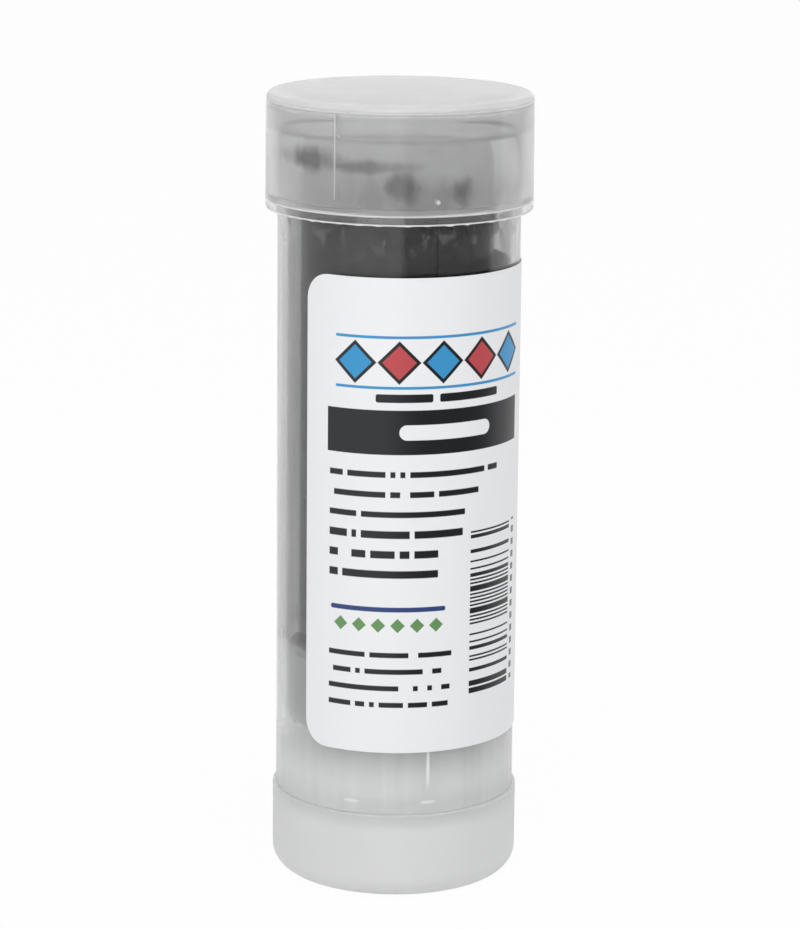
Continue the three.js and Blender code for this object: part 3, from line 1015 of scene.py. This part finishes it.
def screw_outline(angle):
    """The screw at an angle: its foot, its collar, its thread and its chamfered end."""
    foot_r = hexagon_r(angle, FOOT_FLATS)
    foot_top_z = SCREW_FOOT_Z + FOOT_LENGTH
    low_z, high_z = COLLAR_TOP_Z + 0.2, SCREW_TOP_Z - 2.0
    return [
        (0.0, SCREW_FOOT_Z),
        (foot_r - 0.2, SCREW_FOOT_Z),
        (foot_r, SCREW_FOOT_Z + 0.2),
        (foot_r, foot_top_z),
        (THREAD_R, foot_top_z),
        (THREAD_R, COLLAR_Z),
        *arc(COLLAR_R - EDGE, COLLAR_Z + EDGE, EDGE, -90, 0, 3),
        *arc(COLLAR_R - EDGE, COLLAR_TOP_Z - EDGE, EDGE, 0, 90, 3),
        (CORE_R, COLLAR_TOP_Z),
        *thread_rows(angle, CORE_R, THREAD_R, thread_width, low_z, high_z),
        (CORE_R, SCREW_TOP_Z - 1.0),
        (CORE_R - 1.0, SCREW_TOP_Z),
        (0.0, SCREW_TOP_Z),
    ]


screw_angles = list(range(0, 360, 5))
screw = turned("threaded_screw", screw_outline, screw_angles, climbs=True)
dress(screw, "base_body", "natural_plastic", NATURAL, replaces="drive_screw")

# %% [markdown]
# The carrier.
#
# The cup holds the stick's foot. Its wall is notched where the barrel's ribs run, and under its
# floor a nut on the screw's thread and a skirt are joined by four webs. The nut's thread is the
# screw's, set half a pitch away, and drawn by the same function from the other side.

# %% Turn the carrier
HUB_LENGTH = 7.5
CUP_FLOOR = 1.5
LOOSE_FIT = 0.3
CUP_Z = HUB_Z + HUB_LENGTH
CUP_FLOOR_TOP_Z = CUP_Z + CUP_FLOOR
CUP_BORE_R = STICK_R + LOOSE_FIT
NOTCH_WIDTH = RIB_WIDTH + 2 * LOOSE_FIT
NOTCH_R = BORE_R - RIB_DEPTH - LOOSE_FIT
NUT_BORE_R = THREAD_R + THREAD_GAP
NUT_R = 6.6
SKIRT_R = 10.7
SKIRT_WALL = 1.2
WEB_WIDTH = 1.0
webs = [RIB_ANGLE + 90 * i for i in range(4)]


def carrier_outline(angle):
    """The carrier at an angle: nut and skirt below, the notched cup, and the nut's thread."""
    notch = rib_share(angle, ribs, NOTCH_WIDTH, CARRIER_R)
    web = rib_share(angle, webs, WEB_WIDTH, NUT_R)
    wall_r = CARRIER_R + (NOTCH_R - CARRIER_R) * notch
    channel_z = CUP_Z + (HUB_Z + 0.5 - CUP_Z) * web
    low_z, high_z = HUB_Z + 0.1, CUP_FLOOR_TOP_Z - 0.1
    nut = thread_rows(angle, NUT_BORE_R, CORE_R + THREAD_GAP, nut_width, low_z, high_z, PITCH / 2)
    return [
        (NUT_BORE_R, HUB_Z),
        (NUT_R, HUB_Z),
        (NUT_R, channel_z),
        (SKIRT_R - SKIRT_WALL, channel_z),
        (SKIRT_R - SKIRT_WALL, HUB_Z),
        (SKIRT_R - EDGE, HUB_Z),
        (SKIRT_R, HUB_Z + EDGE),
        (SKIRT_R, CUP_Z - 0.5),
        *arc(SKIRT_R + 0.5, CUP_Z - 0.5, 0.5, 180, 90, 3),
        *arc(wall_r - 0.6, CUP_Z + 0.6, 0.6, -90, 0, 4),
        *arc(wall_r - EDGE, CUP_TOP_Z - EDGE, EDGE, 0, 90, 3),
        (CUP_BORE_R + 0.1, CUP_TOP_Z),
        (CUP_BORE_R, CUP_TOP_Z - 0.2),
        (CUP_BORE_R, CUP_FLOOR_TOP_Z),
        (NUT_BORE_R, CUP_FLOOR_TOP_Z),
        *reversed(nut),
    ]


carrier_angles = {*angles_round(ribs, NOTCH_WIDTH, CARRIER_R, step=0.12)}
carrier_angles |= {*angles_round(webs, WEB_WIDTH, NUT_R, beside=0.2)}
carrier = turned("cup_with_nut", carrier_outline, carrier_angles, climbs=True)
dress(carrier, "stick_body", "natural_plastic", NATURAL, replaces="carrier")

# %% [markdown]
# The label.
#
# One sheet of film with round corners, bent round the barrel. Its columns are close together at
# its two ends, where the round corners are.

# %% Bend the label's sheet
LABEL_WIDTH = 88.0
LABEL_LEFT = -46.3
LABEL_THICKNESS = 0.12
LABEL_CORNER_R = 3.8
LABEL_R = BARREL_R + 0.05
LABEL_OUTER_R = LABEL_R + LABEL_THICKNESS
LABEL_EDGE = 0.03
CORNER_STEPS = 16
MIDDLE_STEPS = 200


def bend_label(name):
    shape = bmesh.new()
    quarter = [math.radians(90 * i / CORNER_STEPS) for i in range(CORNER_STEPS + 1)]
    corner = [LABEL_CORNER_R * (1 - math.cos(a)) for a in quarter]
    straight = LABEL_WIDTH - 2 * LABEL_CORNER_R
    middle = [LABEL_CORNER_R + straight * i / MIDDLE_STEPS for i in range(1, MIDDLE_STEPS)]
    rows = []
    for u in corner + middle + [LABEL_WIDTH - c for c in reversed(corner)]:
        inset = min(u, LABEL_WIDTH - u, LABEL_CORNER_R)
        drop = LABEL_CORNER_R - math.sqrt(LABEL_CORNER_R**2 - (LABEL_CORNER_R - inset) ** 2)
        angle = LABEL_LEFT + math.degrees(u / LABEL_OUTER_R)
        low, painted_shade_band = LABEL_BOTTOM_Z + drop, LABEL_TOP_Z - drop
        section = [(LABEL_R, low), (LABEL_OUTER_R - LABEL_EDGE, low)]
        section += [(LABEL_OUTER_R, low + LABEL_EDGE), (LABEL_OUTER_R, painted_shade_band - LABEL_EDGE)]
        section += [(LABEL_OUTER_R - LABEL_EDGE, painted_shade_band), (LABEL_R, painted_shade_band)]
        rows.append([shape.verts.new(on_wall(r, angle, z)) for r, z in section])
    join(shape, rows, rows[1:])
    shape.faces.new(rows[0])
    shape.faces.new(rows[-1])
    return new_piece(name, shape, 40)


label = bend_label("printed_label")

# %% [markdown]
# The label's print.
#
# The print is worked out from two lengths in millimetres: along the sheet from its left edge,
# and up it from its lower edge. It is a plain layout that names nothing: a row of diamonds, a
# dark band, bars where lines of small print go, and a block of stripes. Masks come from
# distances, so every edge is sharp at any zoom.

# %% Make the shapes that the print is made of
CRISP = 0.1
LETTER_PITCH = 0.7
RAGGED = 7.0


class Print:
    """Masks on the label, 1 inside a shape, from the places along and up the sheet."""

    def __init__(self, tree):
        angle, height = tree.around()
        past_back = angle.math("LESS_THAN", angle, LABEL_LEFT - 1.0)
        self.tree = tree
        self.along = (angle + 360 * past_back - LABEL_LEFT) * math.radians(LABEL_OUTER_R)
        self.up = height - LABEL_BOTTOM_Z

    def box(self, left, right, low, painted_shade_band):
        return self.along.between(left, right, CRISP) * self.up.between(low, painted_shade_band, CRISP)

    def bar(self, left, right, low, painted_shade_band, radius):
        """A bar with round corners, from the distance to its straight core."""
        out_u = abs(self.along - (left + right) / 2) - ((right - left) / 2 - radius)
        out_v = abs(self.up - (low + painted_shade_band) / 2) - ((painted_shade_band - low) / 2 - radius)
        return 1 - length(out_u.at_least(0.0), out_v.at_least(0.0)).above(radius, CRISP)

    def diamonds(self, left, count, pitch, middle, reach):
        """A row of diamonds, and a wire that is 1 in every second one of them."""
        cell = (self.along - left) / pitch
        off = abs((cell.fraction() - 0.5) * pitch) + abs(self.up - middle)
        inside = self.along.between(left, left + count * pitch, 0.01)
        second = (cell.floor() / 2).fraction().above(0.25, 0.1)
        return (1 - off.above(reach, 1.4 * CRISP)) * inside, second

    def lines(self, left, right, top, rows, pitch, thick, seed):
        """Rows of bars of uneven length, with a ragged right edge, as lines of words have."""
        row = ((top - self.up) / pitch).floor()
        height = ((top - self.up) / pitch).fraction()
        in_row = height.between(0.5 - thick / pitch / 2, 0.5 + thick / pitch / 2, 0.05)
        cell = (self.along - left) / LETTER_PITCH
        gap = self.tree.dice(cell.floor() + 59 * row + seed).above(0.8, 0.0002)
        end = right - RAGGED * self.tree.dice(row + seed + 0.5)
        inside = self.along.above(left, CRISP) * (end - self.along).above(0.0, CRISP)
        return in_row * (1 - gap) * inside * self.up.between(top - rows * pitch, top, 0.02)


print("label", round(math.degrees(LABEL_WIDTH / LABEL_OUTER_R)), "degrees round")

# %% Print the label
FILM_WHITE = (0.86, 0.866, 0.88)
INK = (0.016, 0.017, 0.020)
NAVY = (0.03, 0.06, 0.2)
BLUE = (0.04, 0.30, 0.60)
RED = (0.52, 0.07, 0.08)
GREEN = (0.14, 0.30, 0.11)
FILM_IOR = 1.42
FILM_RIPPLE = 0.03
TEXT_LEFT = 4.3
DIAMOND_ROW = (5.0, 5, 6.35, 57.0)
STRIPE_BOTTOM, STRIPE_TOP, STRIPE_PITCH = 7.7, 32.3, 0.27
TICK_PITCH = 1.85


def printed_film():
    tree = Finish("printed_label_film")
    sheet = Print(tree)
    small = sheet.lines(TEXT_LEFT, 31.5, 42.37, 3, 2.9, 0.85, 3.0)
    bold = sheet.lines(TEXT_LEFT, 25.2, 33.65, 3, 2.9, 1.1, 211.0)
    foot = sheet.lines(TEXT_LEFT, 25.2, 15.75, 4, 2.46, 0.75, 419.0)
    title = sheet.bar(11.2, 19.4, 51.3, 52.5, 0.3) + sheet.bar(20.4, 30.6, 51.3, 52.5, 0.3)
    stripe = ((sheet.up - STRIPE_BOTTOM) / STRIPE_PITCH).floor()
    kept = (stripe / 4).fraction().above(0.1, 0.01) * tree.dice(stripe + 29.0).above(0.4, 0.0002)
    stripes = kept * sheet.box(25.7, 34.9, STRIPE_BOTTOM, STRIPE_TOP)
    ticks = (sheet.up / TICK_PITCH).fraction().between(0.2, 0.72, 0.06)
    ticks = ticks * sheet.box(35.75, 36.75, 8.0, 32.2)
    outlines, second = sheet.diamonds(*DIAMOND_ROW, 3.1)
    faces = sheet.diamonds(*DIAMOND_ROW, 2.45)[0]
    rules = sheet.box(5.2, 36.6, 53.2, 53.6) + sheet.box(5.2, 36.6, 60.4, 60.8)
    beads = sheet.diamonds(4.8, 6, 2.8, 18.9, 1.05)[0]
    colour = FILM_WHITE
    for mask, paint in (
        ((small + bold + foot + title).at_most(1.0), INK),
        (sheet.box(3.9, 36.7, 43.8, 50.2) * (1 - sheet.bar(14.6, 29.0, 45.9, 48.1, 1.1)), INK),
        ((stripes + 0.85 * ticks).at_most(1.0), INK),
        (rules, BLUE),
        (outlines, INK),
        (faces, tree.mix(second, BLUE, RED)),
        (sheet.bar(4.6, 21.6, 20.9, 21.6, 0.3), NAVY),
        (beads, GREEN),
    ):
        colour = tree.mix(mask, colour, paint)
    smudges = tree.noise(tree.place, 75.0, 2.0)
    ripples = tree.drawn(0.5, 45.0, 1.0)
    surface = {
        "Base Color": colour,
        "Roughness": 0.3 + 0.12 * smudges,
        "IOR": FILM_IOR,
        "Normal": tree.bump(ripples, FILM_RIPPLE * MM),
    }
    return tree.show(tree.node("BsdfPrincipled", None, surface))


dress(label, "barrel_body", "label_film", printed_film(), replaces="label")

# %% [markdown]
# The floor.
#
# The stick stands on a white sweep. To the camera, and to light that runs through plastic, the
# floor adds its own white to its lit colour, so it reads as paper white and still keeps a soft
# shadow under the base. It doesn't show in reflections: there the light tent goes on below it.

# %% Lay the floor
FLOOR_HALF = 4.0
FLOOR_OWN_LIGHT = 0.96


def seen_by(tree, *rays):
    """1 for the kinds of ray that are named, else 0."""
    path = tree.node("LightPath")
    return sum((Wire(tree, path.outputs[ray]) for ray in rays), 0.0).at_most(1.0)


def sweep_finish():
    tree = Finish("white_sweep")
    lit = tree.node("BsdfDiffuse", None, {"Color": (0.9, 0.9, 0.9)})
    own = tree.node("Emission", None, {"Color": (1.0, 1.0, 1.0), "Strength": 1.0})
    shown = seen_by(tree, "Is Camera Ray", "Is Glossy Ray", "Is Transmission Ray")
    return tree.show(tree.blend(FLOOR_OWN_LIGHT * shown, lit, own))


corners = [(x * FLOOR_HALF, y * FLOOR_HALF, 0) for x, y in ((-1, -1), (1, -1), (1, 1), (-1, 1))]
floor_mesh = bpy.data.meshes.new("floor")
floor_mesh.from_pydata(corners, [], [(0, 1, 2, 3)])
floor_mesh.materials.append(sweep_finish())
floor = bpy.data.objects.new("floor", floor_mesh)
bpy.context.scene.collection.objects.link(floor)
floor.visible_glossy = False

# %% [markdown]
# Light.
#
# The world is an even light tent. To the camera, and through clear plastic, it is white. To gloss
# it is white too, apart from a dark card in front on the right: that leaves the black stick
# black on the right of the barrel and lays one long pale reflection on its left, as a studio
# photographer does with round glossy things. Two soft boxes shape the light on the label, and a
# strip high in front draws the bright line on the cap's edge.

# %% Light the tent
TENT = 0.62
CARD_LEFT, CARD_RIGHT = 4.0, 96.0
CARD_TOP = 0.6
CARD_DARKNESS = 0.95
AIM_Z = 60.0


def light_tent():
    world = bpy.data.worlds.new("tent")
    bpy.context.scene.world = world
    world.use_nodes = True
    sky = Tree(world.node_tree)
    x, y, z = sky.parts(sky.wire("TexCoord", output=0))
    card = angle_round(x, y).between(CARD_LEFT, CARD_RIGHT, 8.0) * (1 - z.above(CARD_TOP, 0.3))
    straight = seen_by(sky, "Is Camera Ray", "Is Transmission Ray")
    glossy = seen_by(sky, "Is Glossy Ray")
    indirect = glossy * (1 - CARD_DARKNESS * card) + (1 - glossy) * TENT
    light = {"Color": (1.0, 1.0, 1.0), "Strength": straight + (1 - straight) * indirect}
    sky.node("OutputWorld", None, {"Surface": sky.node("Background", None, light)})


def soft_box(name, azimuth, elevation, distance, width, height, radiance):
    """A soft lamp that faces the stick. Azimuth 0 is at the camera and 90 on the right."""
    lamp = bpy.data.lights.new(name, "AREA")
    lamp.shape = "RECTANGLE"
    lamp.size = width
    lamp.size_y = height
    lamp.energy = radiance * math.pi * width * height
    holder = bpy.data.objects.new(name, lamp)
    a, e = math.radians(azimuth), math.radians(elevation)
    away = Vector((math.sin(a) * math.cos(e), -math.cos(a) * math.cos(e), math.sin(e)))
    holder.location = away * distance + Vector((0, 0, AIM_Z * MM))
    holder.rotation_mode = "QUATERNION"
    holder.rotation_quaternion = away.to_track_quat("Z", "Y")
    bpy.context.scene.collection.objects.link(holder)
    print(name, round(lamp.energy, 2), "W")


light_tent()
# Name, azimuth, elevation, distance, width, height and radiance.
soft_box("left_box", -16, 17, 0.9, 0.7, 0.5, 1.2)
soft_box("right_box", 40, 17, 0.9, 0.4, 0.4, 0.2)
soft_box("top_strip", 8, 58, 0.8, 1.1, 0.24, 2.6)

# %% [markdown]
# The camera.
#
# It looks along +Y from about half a metre away, a little above the cap, with a long lens, and is
# tilted by half a degree.

# %% Set the camera
FOCAL_PIXELS = 3557.09
IMAGE_LONG_SIDE = 929
CAMERA_DISTANCE = 0.518656
CAMERA_ELEVATION = 0.2242
CAMERA_ROLL = 0.0099
TARGET = Vector((0.4507, 0.0, 60.6434)) * MM

lens = bpy.data.cameras.new("camera")
lens.sensor_width = 36.0
lens.lens = lens.sensor_width * FOCAL_PIXELS / IMAGE_LONG_SIDE
lens.clip_start = 0.05
lens.clip_end = 20.0
camera = bpy.data.objects.new("camera", lens)
bpy.context.scene.collection.objects.link(camera)
ahead = Vector((0, math.cos(CAMERA_ELEVATION), -math.sin(CAMERA_ELEVATION)))
level_up = Vector((0, math.sin(CAMERA_ELEVATION), math.cos(CAMERA_ELEVATION)))
level_right = Vector((1, 0, 0))
right = level_right * math.cos(CAMERA_ROLL) + level_up * math.sin(CAMERA_ROLL)
up = level_up * math.cos(CAMERA_ROLL) - level_right * math.sin(CAMERA_ROLL)
turn = Matrix((right, up, -ahead)).transposed()
camera.matrix_world = Matrix.Translation(TARGET - ahead * CAMERA_DISTANCE) @ turn.to_4x4()
bpy.context.scene.camera = camera
bpy.context.scene.view_settings.view_transform = "Standard"
print("lens", round(lens.lens, 2), "mm")
